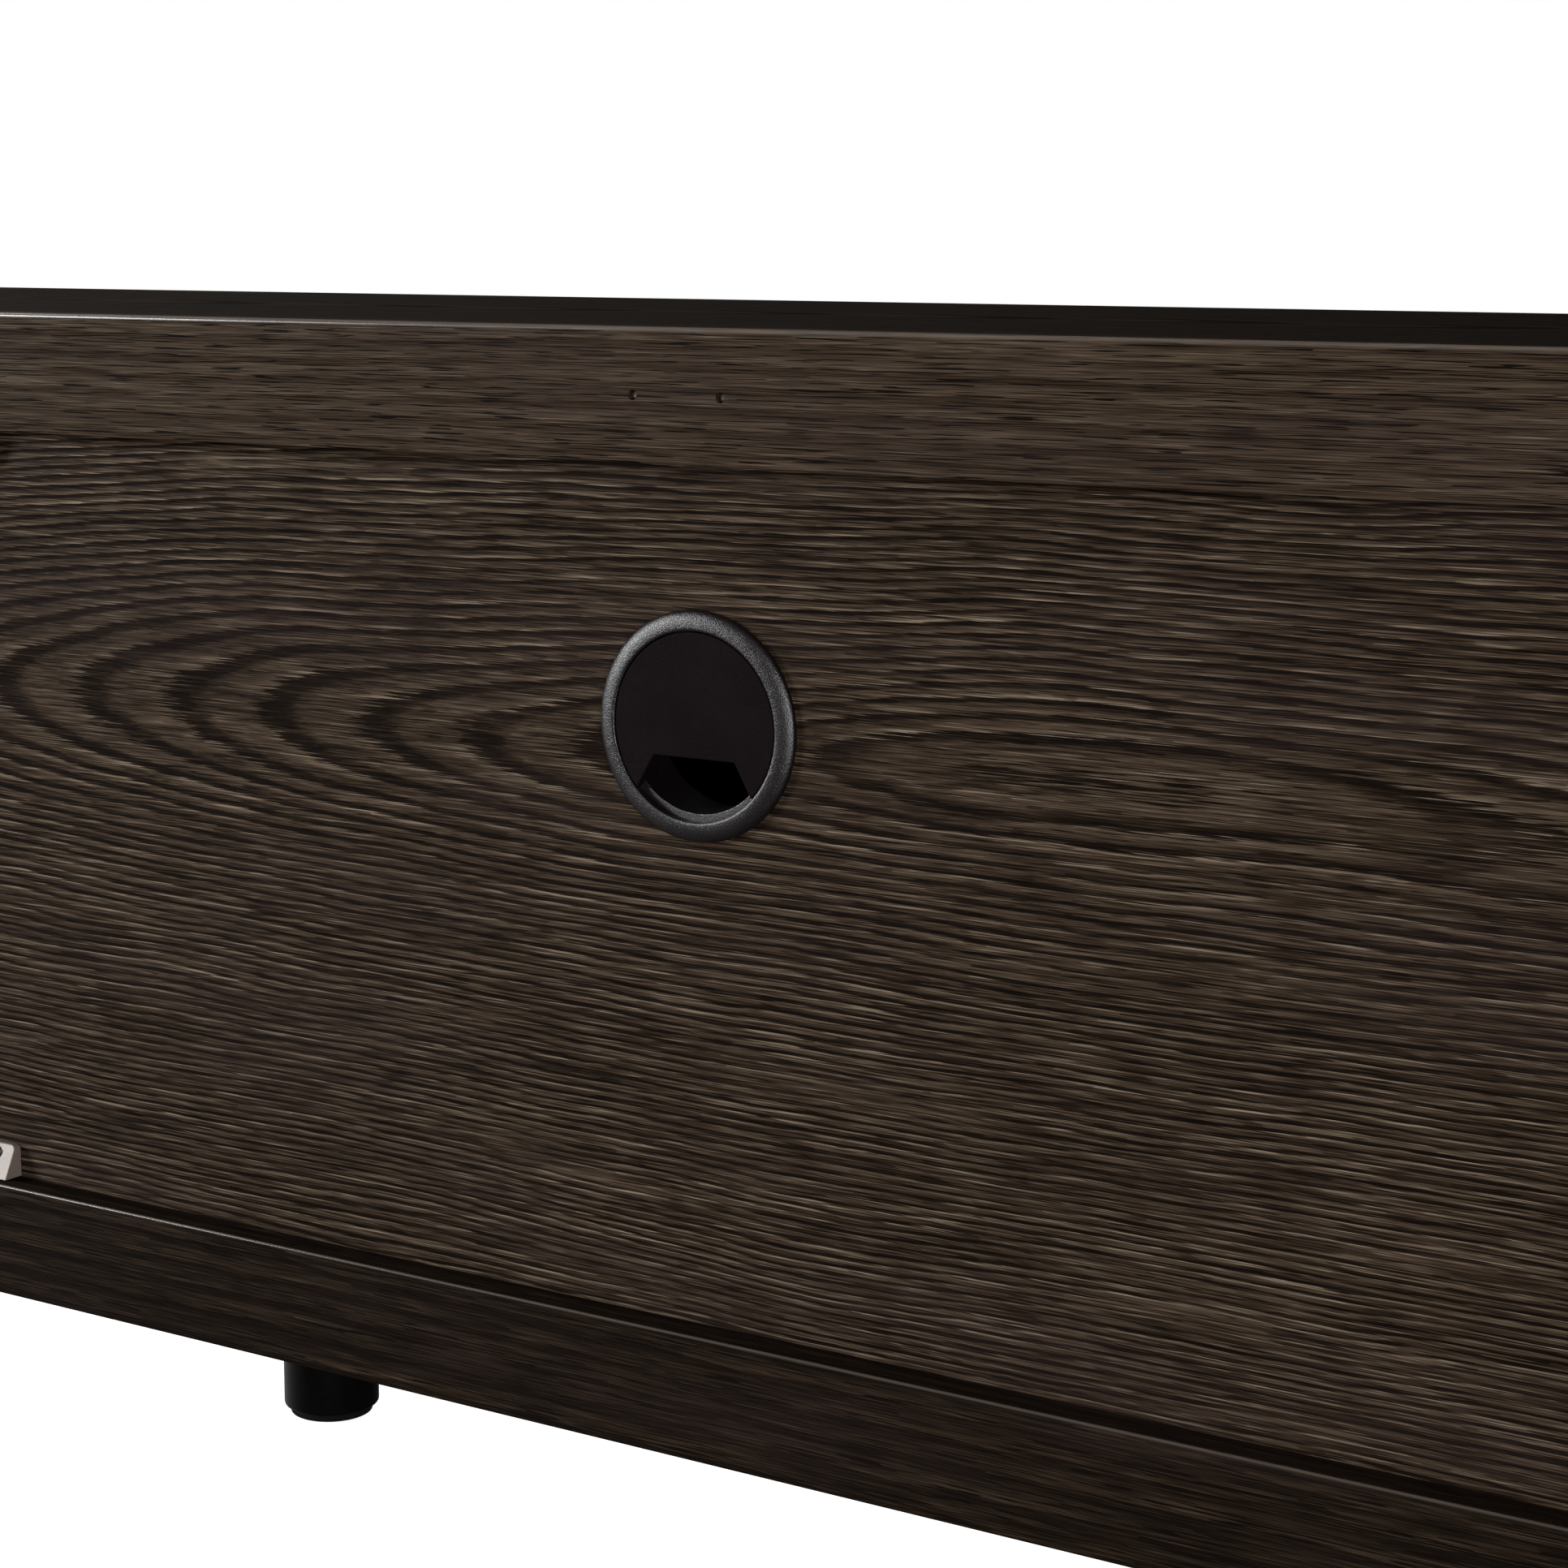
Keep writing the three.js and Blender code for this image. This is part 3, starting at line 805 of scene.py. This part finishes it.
def addBrads():
    first = None
    for name in sorted(named("brad_")):
        low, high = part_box(name)
        centre = middleOf(name)
        start = Vector((centre.x, low[1], centre.z))
        if first is None:
            origin = start
            profile = bradProfile((high[1] - low[1]) / mm)
            piece = first = addTurned(profile, start, (0, 1, 0), 24)
        else:
            piece = copyTo(first, start - origin)
        settle(piece, name, finish["brad"])


addBrads()

clipSizes = {
    "lean": 5.5 * mm,        # the clip is this much thinner at its far end
    "corner": 2.2 * mm,
    "ease": 0.35 * mm,
    "hole": 1.9 * mm,
    "past": 2 * mm,          # how far the hole's rod stands out of the clip
}

screwSizes = {            # mm
    "point": 3.0,
    "threads": 12,
    "firstThread": 4.0,
    "pitch": 1.2,
    "core": 0.85,
    "thread": 1.1,
    "neck": 1.2,
    "head": 1.6,
    "crown": 1.15,
    "slot": 0.4,
    "slotDepth": 0.6,
    "slotLength": 2.0,
}


def addClip(place):
    node = f"back_clip_{place}"
    low, high = boxOf(node)
    far = high.z if place == "bottom" else low.z
    clip = addBlock(low, high)
    pickEdges(clip, lambda a, b: all(near(p.y, high.y) and near(p.z, far) for p in (a, b)))
    bpy.ops.transform.translate(value=(0, -clipSizes["lean"], 0))
    bpy.ops.object.mode_set(mode="OBJECT")
    bevelEdges(
        clip, lambda a, b: near(a.z, far) and near(b.z, far) and near(a.x, b.x), clipSizes["corner"], 5,
    )
    easeEdges(clip, clipSizes["ease"], 2, 30)
    screw = middleOf(f"back_clip_screw_{place}")
    past = clipSizes["past"]
    start = (screw.x, low.y - past, screw.z)
    cutAway(clip, [addRod("y", clipSizes["hole"], start, high.y - low.y + 2 * past)])
    settle(clip, node, finish["clip"], weighted=True)


def screwProfile(length):
    s = screwSizes
    turns = []
    for thread in range(s["threads"]):
        height = s["firstThread"] + thread * s["pitch"]
        turns += [(s["core"], height, 0), (s["thread"], height + 0.35, 0), (s["core"], height + 0.7, 0)]
    return roundCorners([
        (0, 0, 0), (s["core"], s["point"], 0), *turns, (s["thread"], length - 1.6, 0),
        (s["neck"], length - 1.2, 0), (s["head"], length - 1.0, 0), (s["head"], length - 0.6, 0.2),
        (s["crown"], length - 0.05, 0.3), (0, length, 0),
    ], 3)


def addClipScrew(place):
    node = f"back_clip_screw_{place}"
    low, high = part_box(node)
    centre = middleOf(node)
    profile = screwProfile((high[1] - low[1]) / mm)
    screw = addTurned(profile, (centre.x, low[1], centre.z), (0, 1, 0), 32)
    half, thin = screwSizes["slotLength"] / 2 * mm, screwSizes["slot"] / 2 * mm
    front = high[1] - screwSizes["slotDepth"] * mm
    for wide, tall in ((half, thin), (thin, half)):
        corner = Vector((wide, 0, tall))
        barLow = Vector((centre.x, front, centre.z)) - corner
        barHigh = Vector((centre.x, high[1] + mm, centre.z)) + corner
        cutAway(screw, [addBlock(barLow, barHigh)])
    settle(screw, node, finish["steel"])


for place in ("bottom", "top"):
    addClip(place)
    addClipScrew(place)
print("clips and screws made")

grommetSizes = {          # mm
    "bore": 26.5,
    "spigot": 30.0,
    "flange": 35.0,
    "lip": 28.9,          # the flange's inner edge, round the cap
    "length": 18.0,
    "edge": 1.2,          # the straight part of the flange's rim
    "height": 3.4,
    "lipFall": 0.25,
    "crown": 0.14,        # share of the flange from the lip to its highest line
    "seat": 0.4,
    "back": 0.3,
    "domeCuts": 12,
    "cap": 28.5,
    "capLow": 0.7,
    "capHigh": 3.0,
    "capRound": 0.45,
    "skirt": 25.9,
    "skirtWall": 1.6,
    "skirtLength": 5.0,
    "notchDrop": 9.5,     # from the cap's centre to the top of the notch
    "notchWidth": 29.0,   # at its top, and at the cap's edge
    "notchChord": 41.0,
    "notchRound": 0.4,
    "wedgeSpare": 3.0,    # how far the cutting wedge goes past the cap's edge
    "wedgeHalf": 8.0,     # and to either side of the back's face
}


def ringProfile():
    g = grommetSizes
    crown = g["lip"] + (g["flange"] - g["lip"]) * g["crown"]
    dome = []
    for cut in range(g["domeCuts"] + 1):
        angle = cut / g["domeCuts"] * math.pi / 2
        radius = crown + (g["flange"] - crown) * math.cos(angle)
        dome.append((radius, g["edge"] + (g["height"] - g["edge"]) * math.sin(angle), 0))
    inside = [
        (crown + (g["lip"] - crown) * share, g["height"] - g["lipFall"] * share ** 2, 0)
        for share in (0.3, 0.6, 0.85)
    ]
    points = roundCorners([
        (g["bore"], -g["length"], 0.6), (g["spigot"], -g["length"], 0.6), (g["spigot"], g["back"], 0),
        (g["flange"], g["back"], 0.25), *dome, *inside, (g["lip"], g["height"] - g["lipFall"], 0.2),
        (g["lip"], g["seat"], 0), (g["bore"], g["seat"], 0.3),
    ], 4)
    return [*points, points[0]]


def capProfile():
    g = grommetSizes
    inner = g["skirt"] - g["skirtWall"]
    return roundCorners([
        (0, g["capLow"], 0), (inner, g["capLow"], 0), (inner, -g["skirtLength"], 0.3),
        (g["skirt"], -g["skirtLength"], 0.3), (g["skirt"], g["capLow"], 0), (g["cap"], g["capLow"], 0.2),
        (g["cap"], g["capHigh"], g["capRound"]), (0, g["capHigh"], 0),
    ], 4)


def addGrommetCap(centre):
    # the notch is cut by a wedge that widens downwards
    g = grommetSizes
    cap = addTurned(capProfile(), centre, (0, 1, 0), 128)
    chordDrop = math.sqrt(g["cap"] ** 2 - (g["notchChord"] / 2) ** 2)
    flare = (g["notchChord"] - g["notchWidth"]) / 2 / (chordDrop - g["notchDrop"])
    reach = g["cap"] + g["wedgeSpare"]
    half = g["notchWidth"] / 2
    wide = half + flare * (reach - g["notchDrop"])
    low = centre + Vector((-half, -g["wedgeHalf"], -reach)) * mm
    high = centre + Vector((half, g["wedgeHalf"], -g["notchDrop"])) * mm
    wedge = addBlock(low, high)
    pickEdges(wedge, lambda a, b: near(a.z, low.z) and near(b.z, low.z))
    bpy.ops.transform.resize(value=(wide / half, 1, 1), center_override=(centre.x, centre.y, low.z))
    bpy.ops.object.mode_set(mode="OBJECT")
    cutAway(cap, [wedge])
    notchTop = high.z + 0.1 * mm
    face = centre.y + g["capHigh"] * mm
    bevelEdges(
        cap, lambda a, b: near(a.y, face) and near(b.y, face) and max(a.z, b.z) < notchTop,
        g["notchRound"] * mm, 3,
    )
    return cap


def addGrommets():
    firstRing = firstCap = None
    for side in ("left", "right"):
        middle = middleOf(f"grommet_ring_{side}")
        centre = Vector((middle.x, slabRear, middle.z))
        if firstRing is None:
            origin = centre
            ring = firstRing = addTurned(ringProfile(), centre, (0, 1, 0), 128)
            cap = firstCap = addGrommetCap(centre)
        else:
            ring = copyTo(firstRing, centre - origin)
            cap = copyTo(firstCap, centre - origin)
        settle(ring, f"grommet_ring_{side}", finish["plastic"], angle=40)
        body = f"grommet_cap_{side}"
        settle(cap, body, finish["capPlastic"], body=body, weighted=True)


addGrommets()
print("grommets made")

doorSizes = {
    "arris": 1.2 * mm,
    "rearArris": 0.72 * mm,
    "knobNeck": 4.0,         # mm, as are the next ones
    "knobRadius": 7.0,
    "knobReach": 13.0,
    "knobHead": 7.0,
    "stud": 2.0,
    "studLength": 14.0,
    "pin": 3.0,
    "collar": 6.0,
    "collarHeight": 2.0,
    "pinLength": 9.7,
}


def knobProfile():
    d = doorSizes
    neck, wide, reach = d["knobNeck"], d["knobRadius"], d["knobReach"]
    head = reach - d["knobHead"]
    return roundCorners([
        (0, -d["studLength"], 0), (d["stud"], -d["studLength"], 0.4), (d["stud"], 0.3, 0),
        (neck + 0.6, 0.3, 0.2), (neck - 0.4, 2.5, 1.2), (neck - 0.4, head - 0.5, 0.8),
        (wide - 0.6, head + 0.2, 0.5), (wide, head + 1.4, 0.8), (wide, reach - 0.6, 0.7),
        (wide - 1.4, reach, 0.6), (wide - 3.0, reach - 0.35, 1.0), (0, reach - 0.45, 0),
    ], 4)


def pinProfile():
    d = doorSizes
    pin, collar, end = d["pin"], d["collar"], d["collarHeight"] + d["pinLength"]
    low, high = 0.3, d["collarHeight"] - 0.3
    return roundCorners([
        (0, -d["pinLength"], 0), (pin, -d["pinLength"], 0.5), (pin, low, 0), (collar, low, 0.3),
        (collar, high, 0.3), (pin, high, 0), (pin, end, 0.5), (0, end, 0),
    ], 3)


def addDoor(name, body, knobMiddle):
    low, high = boxOf(body)
    door = addBlock(low, high)
    bevelEdges(door, lambda a, b: near(a.y, low.y) and near(b.y, low.y), doorSizes["arris"], 4)
    bevelEdges(door, lambda a, b: near(a.y, high.y) and near(b.y, high.y), doorSizes["rearArris"], 2)
    cutAway(door, boxHoles(named(f"pivot_{name}_"), "z", holeSizes["pivot"], caseSizes["fit"]))
    start = (knobMiddle.x, low.y - mm, knobMiddle.z)
    cutAway(door, [addRod("y", holeSizes["knobStud"], start, holeSizes["knobDepth"] + mm, 24)])
    settle(door, body, oak["doors"], body=body, weighted=True)


def addDoors():
    firstKnob = firstPin = None
    for name in ("left_outer", "left_inner", "right_inner", "right_outer"):
        body = f"door_{name}"
        knobMiddle = middleOf(f"knob_{name}")
        addDoor(name, body, knobMiddle)

        place = Vector((knobMiddle.x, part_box(body)[0][1], knobMiddle.z))
        if firstKnob is None:
            knobOrigin = place
            knob = firstKnob = addTurned(knobProfile(), place, (0, -1, 0), 64)
        else:
            knob = copyTo(firstKnob, place - knobOrigin)
        settle(knob, f"knob_{name}", finish["knob"], body=body, angle=50)

        for end in ("bottom", "top"):
            middle = middleOf(f"pivot_{name}_{end}")
            base = Vector((middle.x, middle.y, middle.z - doorSizes["collarHeight"] / 2 * mm))
            if firstPin is None:
                pinOrigin = base
                pin = firstPin = addTurned(pinProfile(), base, (0, 0, 1), 32)
            else:
                pin = copyTo(firstPin, base - pinOrigin)
            settle(pin, f"pivot_{name}_{end}", finish["steel"], angle=50)


addDoors()
print("doors made")

catchSizes = {
    "round": 2.0 * mm,
    "ease": 0.4 * mm,
    "stand": 1.0 * mm,        # how far the magnets stand out of the body
    "spacing": 24 * mm,
    "magnet": 4.0,            # radius in mm, as are the next ones
    "magnetRound": 0.4,
    "magnetLength": 4.0,
}


def addCatch(low, high):
    # a body with two magnets in its front
    body = addBlock((low.x, low.y + catchSizes["stand"], low.z), high)
    bevelEdges(body, lambda a, b: near(a.x, b.x) and near(a.y, b.y), catchSizes["round"], 4)
    easeEdges(body, catchSizes["ease"], 2, 50)
    middle = (low + high) / 2
    wide, long = catchSizes["magnet"], catchSizes["magnetLength"]
    outline = [(0, 0, 0), (wide, 0, catchSizes["magnetRound"]), (wide, long, 0), (0, long, 0)]
    magnets = []
    for hand in (-1, 1):
        place = Vector((middle.x + hand * catchSizes["spacing"] / 2, low.y, middle.z))
        magnets.append(addTurned(roundCorners(outline, 3), place, (0, 1, 0), 32))
    return joinPieces([body, *magnets])


def addCatches():
    first = None
    for side in ("left", "right"):
        node = f"door_catch_{side}"
        low, high = boxOf(node)
        if first is None:
            origin = low
            piece = first = addCatch(low, high)
        else:
            piece = copyTo(first, low - origin)
        settle(piece, node, finish["capPlastic"], angle=40, weighted=True)


addCatches()

shelfSizes = {
    "arris": 1.0 * mm,
    "endArris": 0.4 * mm,
    "pin": 2.5,               # mm, the pin's radius and its rounding
    "pinRound": 0.5,
}


def addShelves():
    firstPin = None
    for side in ("left", "right"):
        shelf = addBlock(*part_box(f"shelf_{side}"))
        bevelEdges(shelf, lambda a, b: near(a.y, b.y) and near(a.z, b.z), shelfSizes["arris"], 3)
        bevelEdges(shelf, lambda a, b: near(a.x, b.x) and near(a.z, b.z), shelfSizes["endArris"], 2)
        settle(shelf, f"shelf_{side}", oak["shelf"], weighted=True)
        for row in ("front", "rear"):
            for place in ("outer", "inner"):
                node = f"shelf_pin_{side}_{row}_{place}"
                low, high = boxOf(node)
                start = middleOf(node)
                start.x = low.x
                if firstPin is None:
                    pinOrigin = start
                    length, wide, cut = (high.x - low.x) / mm, shelfSizes["pin"], shelfSizes["pinRound"]
                    outline = [(0, 0, 0), (wide, 0, cut), (wide, length, cut), (0, length, 0)]
                    pin = firstPin = addTurned(roundCorners(outline, 3), start, (1, 0, 0), 32)
                else:
                    pin = copyTo(firstPin, start - pinOrigin)
                settle(pin, node, finish["steel"], angle=50)


addShelves()

legSizes = {              # mm
    "radius": 19.0,
    "foot": 3.3,          # height of the leg's lower end
    "footRound": 1.6,
    "topRound": 0.6,
    "stud": 4.0,
    "studLength": 25.0,
    "padRadius": 16.5,
    "padHeight": 3.0,
    "padRound": 1.2,
    "stem": 2.0,
    "stemLength": 10.0,
    "play": 0.3,
}


def legProfile(top):
    s = legSizes
    play = s["play"]
    head = top - s["studLength"] - play
    recess = s["foot"] + s["stemLength"] + play
    return roundCorners([
        (0, recess, 0), (s["stem"] + play, recess, 0), (s["stem"] + play, s["foot"], 0),
        (s["radius"], s["foot"], s["footRound"]), (s["radius"], head, s["topRound"]),
        (s["stud"], head, 0), (s["stud"], top, 0.8), (0, top, 0),
    ], 6)


def padProfile():
    s = legSizes
    top = s["padHeight"] + s["stemLength"]
    return roundCorners([
        (0, 0, 0), (s["padRadius"], 0, s["padRound"]), (s["padRadius"], s["padHeight"], 0.4),
        (s["stem"], s["padHeight"], 0), (s["stem"], top, 0.3), (0, top, 0),
    ], 4)


def addLegs():
    firstLeg = firstPad = None
    for name in ("centre", "front_left", "front_right", "rear_left", "rear_right"):
        centre = middleOf(f"leg_{name}")
        base = Vector((centre.x, centre.y, 0))
        if firstLeg is None:
            origin = base
            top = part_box(f"leg_{name}")[1][2] / mm
            leg = firstLeg = addTurned(legProfile(top), base, (0, 0, 1), 96)
            pad = firstPad = addTurned(padProfile(), base, (0, 0, 1), 64)
        else:
            leg = copyTo(firstLeg, base - origin)
            pad = copyTo(firstPad, base - origin)
        settle(leg, f"leg_{name}", finish["lacquer"], angle=40)
        settle(pad, f"pad_{name}", finish["rubber"], angle=40)


addLegs()
print("legs, shelves and catches made")


# Floor and light

studio = {
    "floor": (0.9, 0.9, 0.9),
    "floorSize": 9,
    "floorDrop": 0.5 * mm,    # keeps the floor just clear of the pads
    "floorRough": 0.9,
    "floorShine": 0.1,
    "floorGlow": 0.86,
    "around": 0.03,           # light from all sides
    "lean": 0.42,             # and more of it from the +X side
    "leanPower": 2.5,
    "seen": 1.0,              # the backdrop's own brightness
    "lights": {               # place, what it points at, size, watts
        "key": ((2.5, 2.2, 1.1), (0.1, 0.15, 0.35), (1.0, 0.9), 125),
        "fill": ((-1.9, 3.4, 0.5), (-0.2, 0.15, 0.3), (0.7, 0.7), 66),
        "side": ((-2.9, 2.2, 0.5), (-0.3, 0.17, 0.3), (0.9, 0.6), 60),
        "rim": ((1.15, 0.2, 1.25), (0.2, 0.18, 0.44), (0.4, 0.4), 6),
        "front": ((1.5, -2.9, 0.23), (0.0, -0.1, 0.3), (2.4, 0.4), 190),
    },
}


def addFloor():
    deselectAll()
    bpy.ops.mesh.primitive_plane_add(size=studio["floorSize"], location=(0, 0, -studio["floorDrop"]))
    floor = bpy.context.object
    floor.name = "floor"
    material = bpy.data.materials.new("paleFloor")
    Desk(material).surface(
        Base_Color=studio["floor"],
        Roughness=studio["floorRough"],
        Specular_IOR_Level=studio["floorShine"],
        Emission_Color=(1.0, 1.0, 1.0),
        Emission_Strength=studio["floorGlow"],
    )
    floor.data.materials.append(material)
    floor.visible_diffuse = False      # its bounced light would wash out the dark wood
    floor.visible_glossy = False


def addLight(name, place, aim, size, power):
    data = bpy.data.lights.new(name, "AREA")
    data.shape = "RECTANGLE"
    data.size, data.size_y = size
    data.energy = power
    light = bpy.data.objects.new(name, data)
    light.location = place
    light.rotation_euler = (Vector(aim) - Vector(place)).to_track_quat("-Z", "Y").to_euler()
    bpy.context.scene.collection.objects.link(light)


def addBackground(desk, strength):
    sockets = {"Color": (1.0, 1.0, 1.0), "Strength": strength}
    return desk.add("ShaderNodeBackground", None, sockets)


def addWorld():
    # the camera sees a white backdrop; the object is lit by a dimmer one
    world = bpy.data.worlds.new("studio")
    bpy.context.scene.world = world
    desk = Desk(world)
    across = desk.add("ShaderNodeSeparateXYZ", None, [desk.add("ShaderNodeTexCoord")])
    leaning = across.maths("MAXIMUM", 0.0).maths("POWER", studio["leanPower"]) * studio["lean"]
    lit = addBackground(desk, leaning + studio["around"])
    seen = addBackground(desk, studio["seen"])
    direct = desk.add("ShaderNodeLightPath")
    mixed = desk.add("ShaderNodeMixShader", None, [direct, lit, seen])
    desk.add("ShaderNodeOutputWorld", None, [mixed])


addFloor()
addWorld()
for name, values in studio["lights"].items():
    addLight(name, *values)
bpy.context.scene.view_settings.view_transform = "Standard"
print("floor and light set")
